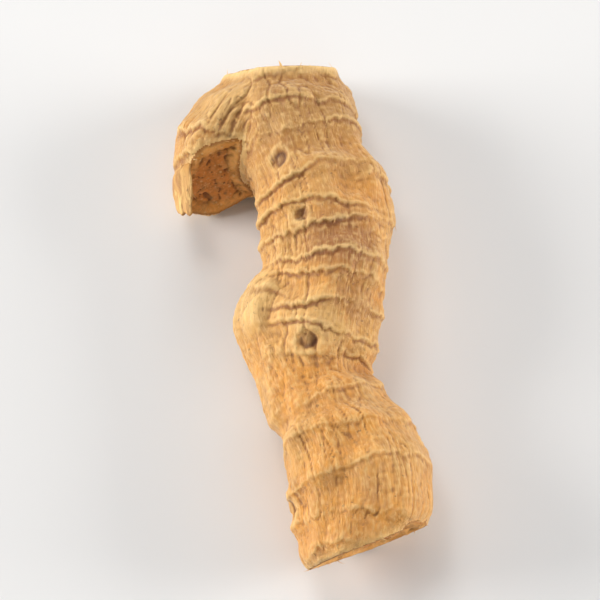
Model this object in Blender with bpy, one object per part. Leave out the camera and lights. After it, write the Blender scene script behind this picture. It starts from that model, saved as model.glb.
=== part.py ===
"""A piece of dried galangal root, modelled as the one solid that it grew as.

A stout stem lies on a table with its head away from the viewer. The head is cut across and has
a short side arm, cut on a slant. Below it come a shoulder, a neck of tight rings, a side bud and
a swollen lower body that is cut off underneath. Rings, furrows and root scars are raised from the
skin by formulas. Lengths are named in millimetres and the scene is in metres, +Z up, with the
table at z = 0 and the origin under the middle of the root.
"""

import math

import bmesh
import bpy
import numpy as np
from mathutils import Matrix, Vector, noise

MM = 0.001
NODE_NAME = "galangal_root"

# Stations along a limb's centre line: across, along, height and half width, in mm.
STEM = [
    (-2.3, 31.0, 6.5, 6.5),
    (-1.9, 25.0, 6.5, 6.8),
    (-1.1, 19.5, 6.7, 6.6),
    (0.4, 14.0, 7.1, 6.1),
    (1.9, 9.0, 7.5, 6.0),
    (2.4, 4.0, 7.6, 5.8),
    (2.5, 0.5, 7.5, 5.5),
    (2.2, -3.4, 7.1, 5.4),
    (1.7, -7.0, 6.8, 5.2),
    (1.6, -9.8, 6.7, 4.2),
    (2.4, -13.0, 6.6, 5.0),
    (3.9, -17.0, 6.5, 6.3),
    (5.3, -21.0, 6.4, 6.9),
    (6.0, -25.0, 6.3, 6.8),
    (6.0, -28.6, 6.2, 6.1),
    (5.8, -32.0, 6.1, 5.2),
    (5.6, -35.5, 6.1, 4.4),
]
ARM = [
    (-1.4, 21.6, 6.5, 6.4),
    (-5.0, 20.6, 6.1, 6.0),
    (-7.4, 17.8, 5.6, 5.3),
    (-8.5, 14.2, 5.2, 4.8),
    (-8.8, 9.0, 5.0, 4.6),
]
SIDE_BUD = [
    (0.4, 0.6, 7.3, 3.4),
    (-2.8, -1.3, 7.2, 3.1),
    (-4.1, -3.6, 7.0, 2.8),
    (-2.9, -6.6, 6.8, 3.0),
    (-0.9, -10.4, 6.7, 3.8),
    (0.6, -14.5, 6.6, 4.4),
]
SHOULDER = [
    (2.4, 14.5, 7.6, 3.8),
    (4.8, 11.0, 7.9, 4.0),
    (5.4, 7.4, 7.8, 3.6),
    (5.6, 3.6, 7.5, 3.1),
    (5.2, -0.6, 7.2, 2.7),
]
LIMBS = {"stem": STEM, "arm": ARM, "side_bud": SIDE_BUD, "shoulder": SHOULDER}

FLATTEN = 0.87  # a dried root is a little lower than it is wide
ROUTE_STEP_MM = 0.5
SKIN_VOXEL_MM = 0.5
BLEND_ROUNDS = 8  # smoothing rounds that melt the limbs into one another
RELIEF_ROUNDS = 2  # smoothing rounds that take the roughness off the finished relief
TRIANGLES = 9800

# Growth rings: distance from the limb's first station and height, in mm.
STEM_RINGS = [
    (8.0, 0.4), (11.6, 0.4), (15.6, 0.5), (20.6, 0.7), (24.5, 0.75), (27.0, 0.75), (29.6, 0.75),
    (32.2, 0.7), (34.9, 0.65), (37.8, 0.65), (41.2, 0.6), (45.2, 0.55), (49.7, 0.6), (54.4, 0.5),
    (59.0, 0.5), (63.2, 0.45),
]
ARM_RINGS = [(8.4, 0.45), (11.2, 0.5), (14.0, 0.4)]
SIDE_BUD_RINGS = [(4.0, 0.3)]
SHOULDER_RINGS = [(5.0, 0.4), (8.4, 0.5), (11.6, 0.4)]
RINGS = {
    "stem": STEM_RINGS,
    "arm": ARM_RINGS,
    "side_bud": SIDE_BUD_RINGS,
    "shoulder": SHOULDER_RINGS,
}
RING_RISE_MM = 1.5  # length of the gentle slope up to a ring's crest
RING_FALL_MM = 0.7  # length of the steep slope beyond it
RING_WAVE_MM = 0.55  # how far a ring strays from a plane as it goes round
RING_RIPPLE = 0.4  # a finer wave, as a share of the first
TURN_PER_RING = 2.4  # radians by which each ring's wave is turned from the last
RING_UNEVENNESS = 0.25  # how much a ring's height varies as it goes round

# Furrows that run along the root: how many go round it, and how deep they are in mm.
FURROWS = [(3, 0.24), (5, 0.2), (9, 0.14)]
FURROW_DRIFT = 0.07  # radians that a furrow wanders in each mm
FULL_RELIEF_WIDTH_MM = 5.0  # limbs with a smaller half width than this have shallower relief
LUMP_SIZE_MM = 7.0
LUMP_HEIGHT_MM = 0.45
BLEND_MM = 0.5  # how far one limb's relief reaches into its neighbour's
SOFT_BEND_MM = 0.3  # how softly a point passes from one stretch of a bent limb to the next

# Root scars: limb, distance along it in mm, angle from straight up in degrees, radius in mm.
ROOT_SCARS = [
    ("stem", 18.6, 30, 1.0),
    ("stem", 25.6, 26, 0.8),
    ("stem", 39.6, 13, 1.1),
    ("stem", 43.0, -112, 1.2),
    ("stem", 56.5, 84, 1.2),
    ("stem", 51.8, -98, 1.1),
    ("stem", 28.0, 150, 1.3),
    ("stem", 22.0, -160, 1.2),
    ("stem", 13.0, 112, 1.3),
    ("stem", 38.0, -140, 1.2),
    ("arm", 10.5, -95, 1.0),
]
SCAR_COLLAR_MM = 0.35
SCAR_PIT_MM = 0.6
# The collar's middle, its width and the pit's width, as shares of the scar's radius.
COLLAR_PLACE = 1.25
COLLAR_WIDTH = 0.45
PIT_WIDTH = 0.7

# Stubs of cut rootlets: limb, distance along it in mm, angle in degrees, radius and height in mm.
ROOT_STUBS = [
    ("stem", 34.6, 128, 1.0, 1.3),
    ("stem", 45.2, -126, 0.9, 1.1),
    ("stem", 20.4, 140, 1.0, 1.2),
    ("arm", 7.6, -138, 0.9, 1.0),
    ("side_bud", 5.8, -70, 0.9, 0.8),
]

# Cuts: a point on the flat face in mm, and the way that face looks.
ARM_CUT = ((-8.6, 13.6, 6.0), (0.3, -1.0, 0.3))
HEAD_CUT = ((-1.8, 26.2, 6.0), (-0.05, 1.0, 0.5))
FOOT_CUT = ((5.8, -29.2, 6.3), (0.36, -0.86, -0.36))
TABLE = ((0.0, 0.0, 0.0), (0.0, 0.0, -1.0))
BLOCK_SIDE_MM = 100.0
CUT_FADE_MM = 1.2  # the relief dies away over this distance to the arm's cut
RIM_ROLL_MM = 0.9  # how far the skin rolls in at the head's cut and the foot's cut
RIM_WIDTH_MM = 1.3
SLIVER_MM = 0.03
SHARP_EDGE_DEGREES = 50

SKIN_COLOUR = (0.52, 0.29, 0.10, 1.0)
SKIN_ROUGHNESS = 0.75


def clear_scene():
    for obj in list(bpy.data.objects):
        bpy.data.objects.remove(obj)


def route(stations):
    """A smooth line through a limb's stations, as points of x, y, z and half width."""
    points = np.array(stations, float)
    ends = np.vstack([2 * points[0] - points[1], points, 2 * points[-1] - points[-2]])
    line = []
    for before, start, end, after in zip(ends, ends[1:], ends[2:], ends[3:]):
        count = max(2, round(float(np.linalg.norm(end[:3] - start[:3])) / ROUTE_STEP_MM))
        for t in np.arange(count) / count:
            line.append(
                0.5 * (2 * start + (end - before) * t
                       + (2 * before - 5 * start + 4 * end - after) * t**2
                       + (3 * start - before - 3 * end + after) * t**3)
            )
    line.append(points[-1])
    return np.array(line)


def limb_object(name, stations):
    """A round limb along its route: a curve with a bevel, whose points carry the half width."""
    line = route(stations)
    curve = bpy.data.curves.new(name, "CURVE")
    curve.dimensions = "3D"
    curve.bevel_depth = MM
    curve.bevel_resolution = 10
    curve.use_fill_caps = True
    spline = curve.splines.new("POLY")
    spline.points.add(len(line) - 1)
    for point, (x, y, z, half_width) in zip(spline.points, line):
        point.co = (x * MM, y * MM, z * MM, 1)
        point.radius = half_width
    guide = bpy.data.objects.new(name + "_guide", curve)
    bpy.context.scene.collection.objects.link(guide)
    mesh = evaluated_mesh(guide)
    bpy.data.objects.remove(guide)
    shape = bmesh.new()
    shape.from_mesh(mesh)
    bmesh.ops.remove_doubles(shape, verts=shape.verts, dist=0.001 * MM)
    bmesh.ops.recalc_face_normals(shape, faces=shape.faces)
    shape.to_mesh(mesh)
    shape.free()
    limb = bpy.data.objects.new(name, mesh)
    bpy.context.scene.collection.objects.link(limb)
    return limb


def evaluated_mesh(obj):
    graph = bpy.context.evaluated_depsgraph_get()
    return bpy.data.meshes.new_from_object(obj.evaluated_get(graph))


def bake_modifiers(obj):
    """Makes what the modifiers show the object's own mesh."""
    mesh = evaluated_mesh(obj)
    obj.modifiers.clear()
    obj.data = mesh


def joined(limbs):
    """All limbs in one mesh object, still overlapping."""
    shape = bmesh.new()
    for limb in limbs:
        shape.from_mesh(limb.data)
        bpy.data.objects.remove(limb)
    mesh = bpy.data.meshes.new(NODE_NAME)
    shape.to_mesh(mesh)
    shape.free()
    obj = bpy.data.objects.new(NODE_NAME, mesh)
    bpy.context.scene.collection.objects.link(obj)
    return obj


def melt_into_one_skin(obj):
    """One closed skin over the overlapping limbs, with soft creases where they meet."""
    remesh = obj.modifiers.new("one_skin", "REMESH")
    remesh.mode = "VOXEL"
    remesh.voxel_size = SKIN_VOXEL_MM * MM
    bake_modifiers(obj)
    soften(obj, BLEND_ROUNDS)


def soften(obj, rounds):
    smooth = obj.modifiers.new("soften", "SMOOTH")
    smooth.factor = 0.5
    smooth.iterations = rounds
    bake_modifiers(obj)


class Limb:
    """A limb's centre line, which finds how far along and round it a point of the skin lies."""

    def __init__(self, name):
        self.line = route(LIMBS[name])
        self.rings = RINGS[name]
        steps = np.linalg.norm(np.diff(self.line[:, :3], axis=0), axis=1)
        self.length_at = np.concatenate([[0.0], np.cumsum(steps)])
        self.tangents = np.gradient(self.line[:, :3], axis=0)
        self.tangents /= np.linalg.norm(self.tangents, axis=1)[:, None]

    def locate(self, points):
        """How far outside the limb each point is, how far along it, and the angle from straight up.

        Each point takes an average over the line's nearest points, so that nothing jumps at a bend.
        """
        gaps = np.linalg.norm(points[:, None, :] - self.line[None, :, :3], axis=2)
        depth = gaps - self.line[None, :, 3]
        outside = depth.min(axis=1)
        nearness = np.exp((outside[:, None] - depth) / SOFT_BEND_MM)
        nearness /= nearness.sum(axis=1)[:, None]
        away = points - nearness @ self.line[:, :3]
        tangent = nearness @ self.tangents
        across = np.cross(tangent, (0.0, 0.0, 1.0))
        up = np.cross(across, tangent)
        along = nearness @ self.length_at + (away * tangent).sum(axis=1)
        angle = np.arctan2((away * across).sum(axis=1), (away * up).sum(axis=1))
        return outside, along, angle

    def point_on_skin(self, along, degrees):
        index = int(np.abs(self.length_at - along).argmin())
        across = np.cross(self.tangents[index], (0.0, 0.0, 1.0))
        across /= np.linalg.norm(across)
        up = np.cross(across, self.tangents[index])
        turn = math.radians(degrees)
        outwards = math.sin(turn) * across + math.cos(turn) * up
        return self.line[index, :3] + self.line[index, 3] * outwards

    def relief(self, along, angle):
        """Rings and furrows in mm, for each distance along the limb and angle round it."""
        half_width = np.interp(along, self.length_at, self.line[:, 3])
        height = np.zeros_like(along)
        for number, (place, ring_height) in enumerate(self.rings):
            turn = TURN_PER_RING * number
            wave = RING_WAVE_MM * (np.sin(angle + turn) + RING_RIPPLE * np.sin(3 * angle - turn))
            offset = along - place - wave
            width = np.where(offset < 0, RING_RISE_MM, RING_FALL_MM)
            strength = 1.0 + RING_UNEVENNESS * (np.sin(2 * angle + 2 * turn) - 1.0)
            height += ring_height * strength * np.exp(-((offset / width) ** 2))
        for count, depth in FURROWS:
            drift = FURROW_DRIFT * along * math.cos(count)
            height += depth * np.sin(count * (angle + drift) + count)
        return height * np.minimum(1.0, half_width / FULL_RELIEF_WIDTH_MM)


def lumps(points):
    return np.array([noise.noise(Vector(p) / LUMP_SIZE_MM) for p in points]) * LUMP_HEIGHT_MM


def scar_relief(points, limbs):
    """Each root scar is a pit with a raised collar."""
    height = np.zeros(len(points))
    for limb_name, along, degrees, radius in ROOT_SCARS:
        centre = limbs[limb_name].point_on_skin(along, degrees)
        gap = np.linalg.norm(points - centre, axis=1) / radius
        height += SCAR_COLLAR_MM * np.exp(-(((gap - COLLAR_PLACE) / COLLAR_WIDTH) ** 2))
        height -= SCAR_PIT_MM * np.exp(-((gap / PIT_WIDTH) ** 2))
    return height


def stub_relief(points, limbs):
    """Each stub of a cut rootlet is a small round knob."""
    height = np.zeros(len(points))
    for limb_name, along, degrees, radius, rise in ROOT_STUBS:
        centre = limbs[limb_name].point_on_skin(along, degrees)
        gap = np.linalg.norm(points - centre, axis=1) / radius
        height += rise * np.exp(-(gap**4))
    return height


def rolled_rims(points):
    """The skin rolls in a little towards the head's cut and the foot's cut, as it does in drying."""
    height = np.zeros(len(points))
    for point, facing in (HEAD_CUT, FOOT_CUT):
        depth = (np.array(point) - points) @ np.array(facing) / np.linalg.norm(facing)
        height -= RIM_ROLL_MM * np.exp(-((np.maximum(depth, 0.0) / RIM_WIDTH_MM) ** 2))
    return height


def fade_at_arm_cut(points, own_arm):
    """How much of the relief stays at each point: none on the arm's cut face, all of it elsewhere."""
    point, facing = (np.array(v) for v in ARM_CUT)
    depth = (point - points) @ facing / np.linalg.norm(facing)
    return np.where(own_arm, np.clip(depth / CUT_FADE_MM, 0.0, 1.0), 1.0)


def raise_relief(obj):
    """Moves every point of the skin out or in along its normal."""
    mesh = obj.data
    points = np.array([v.co for v in mesh.vertices]) / MM
    normals = np.array([v.normal for v in mesh.vertices])
    limbs = {name: Limb(name) for name in LIMBS}
    outside, along, angle = zip(*(limb.locate(points) for limb in limbs.values()))
    depth = np.array(outside)
    share = np.exp(-(depth - depth.min(axis=0)) / BLEND_MM)
    share /= share.sum(axis=0)
    height = lumps(points) + scar_relief(points, limbs) + stub_relief(points, limbs)
    for number, limb in enumerate(limbs.values()):
        height += share[number] * limb.relief(along[number], angle[number])
    height += rolled_rims(points)
    height *= fade_at_arm_cut(points, depth.argmin(axis=0) == list(LIMBS).index("arm"))
    moved = (points + normals * height[:, None]) * (1, 1, FLATTEN) * MM
    mesh.vertices.foreach_set("co", moved.astype(np.float32).ravel())
    mesh.update()


def thin_out(obj):
    """Brings the skin down to the wanted count, keeping the faces where it bends."""
    obj.data.calc_loop_triangles()
    decimate = obj.modifiers.new("fewer_faces", "DECIMATE")
    decimate.ratio = TRIANGLES / len(obj.data.loop_triangles)
    decimate.use_collapse_triangulate = True
    bake_modifiers(obj)


def cut_across(obj, point, facing):
    """Cuts away what lies beyond a plane, with a block whose near face is on the plane."""
    direction = Vector(facing).normalized()
    centre = (Vector(point) + direction * BLOCK_SIDE_MM / 2) * MM
    bpy.ops.mesh.primitive_cube_add(size=BLOCK_SIDE_MM * MM, location=centre)
    block = bpy.context.object
    block.rotation_euler = direction.to_track_quat("Z", "Y").to_euler()
    block.display_type = "WIRE"
    block.hide_render = True
    cut = obj.modifiers.new("cut", "BOOLEAN")
    cut.operation = "DIFFERENCE"
    cut.object = block
    bake_modifiers(obj)
    bpy.data.objects.remove(block)


def tidy_faces(obj):
    """Leaves triangles only, with no slivers along the cuts."""
    shape = bmesh.new()
    shape.from_mesh(obj.data)
    bmesh.ops.dissolve_degenerate(shape, dist=SLIVER_MM * MM, edges=shape.edges)
    bmesh.ops.triangulate(shape, faces=shape.faces)
    shape.to_mesh(obj.data)
    shape.free()


def centre_on_origin(obj):
    """Slides the root along the table until its box is centred on the origin."""
    points = np.array([v.co for v in obj.data.vertices])
    middle = (points.min(axis=0) + points.max(axis=0)) / 2
    obj.data.transform(Matrix.Translation((-middle[0], -middle[1], 0.0)))


def skin_material():
    material = bpy.data.materials.new("dried_skin")
    material.use_nodes = True
    shader = material.node_tree.nodes["Principled BSDF"]
    shader.inputs["Base Color"].default_value = SKIN_COLOUR
    shader.inputs["Roughness"].default_value = SKIN_ROUGHNESS
    shader.inputs["Metallic"].default_value = 0.0
    return material


def main():
    clear_scene()
    limbs = {name: limb_object(name, stations) for name, stations in LIMBS.items()}
    cut_across(limbs["arm"], *ARM_CUT)
    root = joined(limbs.values())
    melt_into_one_skin(root)
    raise_relief(root)
    soften(root, RELIEF_ROUNDS)
    thin_out(root)
    for cut in (HEAD_CUT, FOOT_CUT, TABLE):
        cut_across(root, *cut)
    tidy_faces(root)
    centre_on_origin(root)
    root.data.shade_smooth()
    root.data.set_sharp_from_angle(angle=math.radians(SHARP_EDGE_DEGREES))
    root.data.materials.clear()
    root.data.materials.append(skin_material())


main()
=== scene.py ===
"""The looks of a piece of dried galangal root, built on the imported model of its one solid.

The root's skin is a fine copy of the solid. Scale edges, growth rings, wrinkles, root scars and
the fibres of the cut faces are moved into it by formulas that follow the same limbs as the
solid does. Lengths are named in millimetres and the scene is in metres, +Z up.
"""

import math
import random

import bmesh
import bpy
import numpy as np
from bpy.props import FloatProperty, FloatVectorProperty, IntProperty, PointerProperty
from mathutils import Matrix, Vector, kdtree, noise


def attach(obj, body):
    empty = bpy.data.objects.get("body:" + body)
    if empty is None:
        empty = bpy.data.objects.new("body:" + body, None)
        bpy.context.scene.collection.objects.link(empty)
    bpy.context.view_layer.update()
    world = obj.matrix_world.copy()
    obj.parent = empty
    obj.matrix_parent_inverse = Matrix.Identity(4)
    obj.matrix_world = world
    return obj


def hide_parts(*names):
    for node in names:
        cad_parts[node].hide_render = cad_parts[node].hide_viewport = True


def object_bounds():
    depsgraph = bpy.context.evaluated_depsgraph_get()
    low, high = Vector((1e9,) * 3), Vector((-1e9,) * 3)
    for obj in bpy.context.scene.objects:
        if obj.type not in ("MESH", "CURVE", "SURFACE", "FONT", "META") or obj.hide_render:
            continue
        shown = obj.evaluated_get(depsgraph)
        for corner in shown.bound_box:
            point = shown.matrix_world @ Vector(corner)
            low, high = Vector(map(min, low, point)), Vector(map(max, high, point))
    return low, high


bl_info = {
    "name": "Dried galangal root",
    "version": (1, 0, 0),
    "blender": (4, 5, 0),
    "location": "View3D > Sidebar > Galangal",
    "description": "Builds the skin, cut faces, loose fibres and stage of a dried galangal root",
    "category": "Object",
}

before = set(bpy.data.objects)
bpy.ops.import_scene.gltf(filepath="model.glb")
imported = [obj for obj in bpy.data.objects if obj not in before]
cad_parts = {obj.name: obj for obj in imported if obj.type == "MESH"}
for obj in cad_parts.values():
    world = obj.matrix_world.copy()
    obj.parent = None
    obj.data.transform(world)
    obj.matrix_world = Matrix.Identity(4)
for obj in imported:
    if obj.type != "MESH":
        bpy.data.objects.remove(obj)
CAD_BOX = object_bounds()

MM = 0.001
NODE = "galangal_root"
BODY = "root"

# Stations along a limb's centre line: across, along, height and half width, in mm.
STEM = [
    (-2.3, 31.0, 6.5, 6.5),
    (-1.9, 25.0, 6.5, 6.8),
    (-1.1, 19.5, 6.7, 6.6),
    (0.4, 14.0, 7.1, 6.1),
    (1.9, 9.0, 7.5, 6.0),
    (2.4, 4.0, 7.6, 5.8),
    (2.5, 0.5, 7.5, 5.5),
    (2.2, -3.4, 7.1, 5.4),
    (1.7, -7.0, 6.8, 5.2),
    (1.6, -9.8, 6.7, 4.2),
    (2.4, -13.0, 6.6, 5.0),
    (3.9, -17.0, 6.5, 6.3),
    (5.3, -21.0, 6.4, 6.9),
    (6.0, -25.0, 6.3, 6.8),
    (6.0, -28.6, 6.2, 6.1),
    (5.8, -32.0, 6.1, 5.2),
    (5.6, -35.5, 6.1, 4.4),
]
ARM = [
    (-1.4, 21.6, 6.5, 6.4),
    (-5.0, 20.6, 6.1, 6.0),
    (-7.4, 17.8, 5.6, 5.3),
    (-8.5, 14.2, 5.2, 4.8),
    (-8.8, 9.0, 5.0, 4.6),
]
SIDE_BUD = [
    (0.4, 0.6, 7.3, 3.4),
    (-2.8, -1.3, 7.2, 3.1),
    (-4.1, -3.6, 7.0, 2.8),
    (-2.9, -6.6, 6.8, 3.0),
    (-0.9, -10.4, 6.7, 3.8),
    (0.6, -14.5, 6.6, 4.4),
]
SHOULDER = [
    (2.4, 14.5, 7.6, 3.8),
    (4.8, 11.0, 7.9, 4.0),
    (5.4, 7.4, 7.8, 3.6),
    (5.6, 3.6, 7.5, 3.1),
    (5.2, -0.6, 7.2, 2.7),
]
LIMBS = {"stem": STEM, "arm": ARM, "side_bud": SIDE_BUD, "shoulder": SHOULDER}
FLATTEN = 0.87
SLIDE_MM = (0.328, 1.242, 0.0)  # from the limbs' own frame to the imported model's
ROUTE_STEP_MM = 0.5
BLEND_MM = 0.8  # over about this much one limb's relief gives way to the next one's
SOFT_BEND_MM = 0.3  # how softly a limb's directions turn inside its bends
BOX_EASE_MM = 0.35

# Growth rings, by their distance along the limb in mm.
RINGS = {
    "stem": [
        8.0, 11.6, 15.6, 20.6, 24.5, 27.0, 29.6, 32.2, 34.9, 37.8, 41.2, 45.2, 49.7, 54.4, 59.0, 63.2,
    ],
    "arm": [8.4, 11.2, 14.0],
    "side_bud": [4.0],
    "shoulder": [5.0, 8.4, 11.6],
}
FAINT_RINGS_FROM_MM = (40.0, 47.0)  # the rings fade over this stretch of the stem
RING_WAVE_MM = 0.55
RING_RIPPLE = 0.4
TURN_PER_RING = 2.4

# Root scars and the stubs of cut rootlets: limb, distance along it in mm, angle from straight up
# in degrees, radius in mm.
ROOT_SCARS = [
    ("stem", 18.6, 30, 1.0),
    ("stem", 25.6, 26, 0.8),
    ("stem", 39.6, 13, 1.1),
    ("stem", 43.0, -112, 1.2),
    ("stem", 56.5, 84, 1.2),
    ("stem", 51.8, -98, 1.1),
    ("stem", 28.0, 150, 1.3),
    ("stem", 22.0, -160, 1.2),
    ("stem", 13.0, 112, 1.3),
    ("stem", 38.0, -140, 1.2),
    ("arm", 10.5, -95, 1.0),
]
ROOT_STUBS = [
    ("stem", 34.6, 128, 1.0),
    ("stem", 45.2, -126, 0.9),
    ("stem", 20.4, 140, 1.0),
    ("arm", 7.6, -138, 0.9),
    ("side_bud", 5.8, -70, 0.9),
]

# Painted shade on the right flank of the neck and waist, and paler patches: painted highlight on the side
# bud and on the head's left side, and a paler patch on top of the waist. Middle and radius in mm, in the
# limbs' own frame, and strength from 0 to 1.
PAINTED_SHADE_PATCHES = [
    ((3.8, 2.6, 13.2), 5.5, 0.75),
    ((5.0, -3.4, 11.6), 3.6, 0.4),
]
HIGHLIGHT_AND_PALE_PATCHES = [
    ((-6.2, -1.6, 9.5), 5.5, 0.7),
    ((-8.0, 20.0, 11.0), 5.0, 0.3),
    ((0.6, -6.5, 12.0), 5.0, 0.35),
]

# Cuts: a point on the flat face in mm, and the way that face looks. The arm's is in the limbs'
# own frame, before the root is flattened.
ARM_CUT = ((-8.6, 13.6, 6.0), (0.3, -1.0, 0.3))
HEAD_CUT = ((-1.8, 26.2, 6.0), (-0.05, 1.0, 0.5))
FOOT_CUT = ((5.8, -29.2, 6.3), (0.36, -0.86, -0.36))
CUT_FACING = (0.62, 0.86)  # how squarely the skin faces a cut's way, from not on it to fully on it
CUT_GAP_MM = (0.9, 0.5)  # how far from the cut's plane it lies, from not on it to fully on it
RIM_GAP_MM = 2.0
FAR_MM = 99.0  # for skin that no cut concerns

# A growth ring's profile along the limb: a long rise, a sharp edge, then a groove.
RING_RISE_MM = 2.0
RING_DROP_MM = 0.16
RING_LINE_MM = (-0.06, 0.15)  # the pale line on the edge: its place and half width
GROOVE_MM = (0.36, 0.26)  # the groove: its place and half width
FAINT_RING_LOSS = 0.6
FAINT_FINE_RING_LOSS = 0.75

# Furrows along the limbs: lumps of noise per mm, width, depth share and sharpness.
FURROWS = [(0.28, 0.5, 0.75, 2.0), (0.42, 0.13, 0.9, 1.5), (0.85, 0.18, 0.6, 1.5)]

SMOOTHING = 16  # rounds on the fine mesh, before the relief
HOLLOW_ROUNDS = {"hollow_fine": 6, "hollow_wide": 60}  # rounds that smooth hollows away

# The strip of torn bark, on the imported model: the arm's middle across and up near its cut and its
# radius there, where along the root the strip starts, and how far round the arm it lies.
ARM_MIDDLE_MM = (-8.3, 4.4)
ARM_RADIUS_MM = 4.75
STRIP_START_MM = 16.4
STRIP_TURN = math.radians(150)
STRIP_SINK_MM = 1.0  # how deep its start lies in the arm
STRIP_RISE_MM = 1.1

# The one stout fibre that stands up from the head's rim, in the limbs' own frame.
SPIKE_PLACE_MM = (-2.2, 23.6, 13.0)
SPIKE_WAY = (-0.1, 0.6, 0.8)
SPIKE_SAG = (-0.5, 0.3, 0.0)
SPIKE_SIZE_MM = (0.75, 0.4)  # length and width

# Fibres: shortest and longest, then narrowest and widest.
FRINGE_SIZES_MM = ((0.3, 0.85), (0.07, 0.14))
FIBRE_SIZES_MM = ((0.3, 0.9), (0.08, 0.16))
FIBRE_SIDES = 5
FIBRE_STEPS = 4
FRINGE_ENDS_MM = (2.0, 3.5)  # no fringe so near a limb's start and end
FRINGE_CLEAR_MM = 0.6  # from the other limbs and from the table
FIBRE_CLEAR_MM = 0.8  # from the table

FLOOR_GAP_MM = 0.03
FLOOR_ROUGHNESS = 0.9
ROOM_LIGHT = 0.2

# Lights: name, place in mm, size in mm, power in watts and colour.
LIGHTS = [
    ("side_left", (-700, 60, 200), 420, 6.9, (1.0, 0.98, 0.95)),
    ("side_right", (700, 40, 170), 420, 5.9, (1.0, 0.97, 0.94)),
    ("top", (-250, 250, 760), 320, 1.35, (1.0, 1.0, 1.0)),
    ("back", (-50, 800, 300), 420, 3.0, (1.0, 1.0, 1.0)),
    ("front_fill", (120, -650, 600), 500, 0.8, (1.0, 1.0, 1.0)),
]


def tone(red, green, blue):
    """A colour picked on screen, from 0 to 255, as the linear colour that shaders use."""
    parts = np.array([red, green, blue]) / 255
    low = parts / 12.92
    high = ((parts + 0.055) / 1.055) ** 2.4
    return tuple(float(c) for c in np.where(parts <= 0.04045, low, high))


def number(name, description, default, low=0.0, **kind):
    return FloatProperty(name=name, description=description, default=default, min=low, **kind)


def length(name, description, default_mm):
    kind = {"precision": 5, "subtype": "DISTANCE", "unit": "LENGTH"}
    return number(name, description, default_mm * MM, **kind)


def colour(name, description, default):
    return FloatVectorProperty(
        name=name,
        description=description,
        default=default,
        size=3,
        min=0.0,
        max=1.0,
        subtype="COLOR",
    )


def whole_number(name, description, default):
    return IntProperty(name=name, description=description, default=default, min=0)


class GalangalShape(bpy.types.PropertyGroup):
    """Sizes of the relief in the skin and the cut faces."""

    skin_step: length("Skin step", "Size of the skin's mesh squares", 0.2)
    scale_edge: length("Scale edge", "Height of the leaf scale's edge at each ring", 0.2)
    ring_groove: length("Ring groove", "Depth of the groove beyond each scale edge", 0.16)
    fine_ring: length("Fine ring", "Height of the fine rings between the large ones", 0.06)
    fine_ring_gap: length("Fine ring gap", "Distance between the fine rings", 1.05)
    wrinkle: length("Wrinkle", "Depth of the wrinkles that run along the root", 0.2)
    lump: length("Lump", "Height of the soft lumps in the skin", 0.16)
    grain: length("Grain", "Height of the skin's roughness", 0.05)
    cut_dish: length("Cut dish", "How far the flesh has sunk inside the rim of a cut", 0.45)
    cut_fibre: length("Cut fibre", "Height of the fibre ends in a cut face", 0.14)


class GalangalColours(bpy.types.PropertyGroup):
    """Colours of the skin, the flesh and the fibres."""

    # Straw also paints highlights: on the crests together with wear, on the side bud and the head's left
    # side, and along the cut rims.
    straw: colour("Straw", "Crests and scale edges of the skin", tone(243, 204, 134))
    tan: colour("Tan", "The skin's main colour", tone(214, 158, 83))
    ochre: colour("Ochre", "Warmer patches of the skin", tone(221, 151, 62))
    olive: colour("Olive", "Greyer skin at the head", tone(172, 126, 64))
    # Bark brown also paints the shade in the skin's hollows and wrinkles, and on the right flank of the
    # neck and waist.
    bark_brown: colour("Bark brown", "Hollows and wrinkles of the skin", tone(140, 84, 36))
    # Scar brown also paints the shade in the cut flesh's fine hollows.
    scar_brown: colour("Scar brown", "Root scars and the rims of the cuts", tone(92, 50, 22))
    flesh: colour("Flesh", "Outer flesh of a cut face", tone(240, 178, 98))
    heart: colour("Heart", "Inner flesh of a cut face", tone(214, 136, 66))
    fibre: colour("Fibre", "Fibre ends and loose fibres", tone(236, 198, 136))


class GalangalFray(bpy.types.PropertyGroup):
    """The loose ends: fringes, fibres and torn bark."""

    fringe_count: whole_number("Fringe fibres", "Fibres tried round each growth ring", 34)
    fibre_count: whole_number("Loose fibres", "Loose fibres in and round the cut faces", 60)
    strip_length: length("Strip length", "Length of the torn bark strip", 6.6)
    strip_width: length("Strip width", "Width of the torn bark strip", 4.0)
    strip_thickness: length("Strip thickness", "Thickness of the torn bark strip", 0.35)


class GalangalStage(bpy.types.PropertyGroup):
    """The floor, the lights and the camera."""

    floor: colour("Floor", "The floor's colour", (0.8, 0.8, 0.8))
    floor_size: length("Floor size", "Length of the floor's side", 3000.0)
    camera_distance: length("Camera distance", "From the camera to the root", 418.0)
    camera_elevation: number(
        "Camera elevation",
        "How far above the horizon the camera stands",
        math.radians(60.0),
        subtype="ANGLE",
        unit="ROTATION",
    )
    lens: number("Lens", "The camera's focal length in mm", 250.0, low=20.0)


def route(stations):
    """A smooth line through a limb's stations, as points of x, y, z and half width."""
    points = np.array(stations, float)
    ends = np.vstack([2 * points[0] - points[1], points, 2 * points[-1] - points[-2]])
    line = []
    for before, start, end, after in zip(ends, ends[1:], ends[2:], ends[3:]):
        count = max(2, round(float(np.linalg.norm(end[:3] - start[:3])) / ROUTE_STEP_MM))
        for t in np.arange(count) / count:
            line.append(
                0.5 * (2 * start + (end - before) * t
                       + (2 * before - 5 * start + 4 * end - after) * t**2
                       + (3 * start - before - 3 * end + after) * t**3)
            )
    line.append(points[-1])
    return np.array(line)


def unit(vectors):
    """Vectors in rows, or one by itself, made 1 long."""
    return vectors / np.linalg.norm(vectors, axis=-1, keepdims=True)


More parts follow.
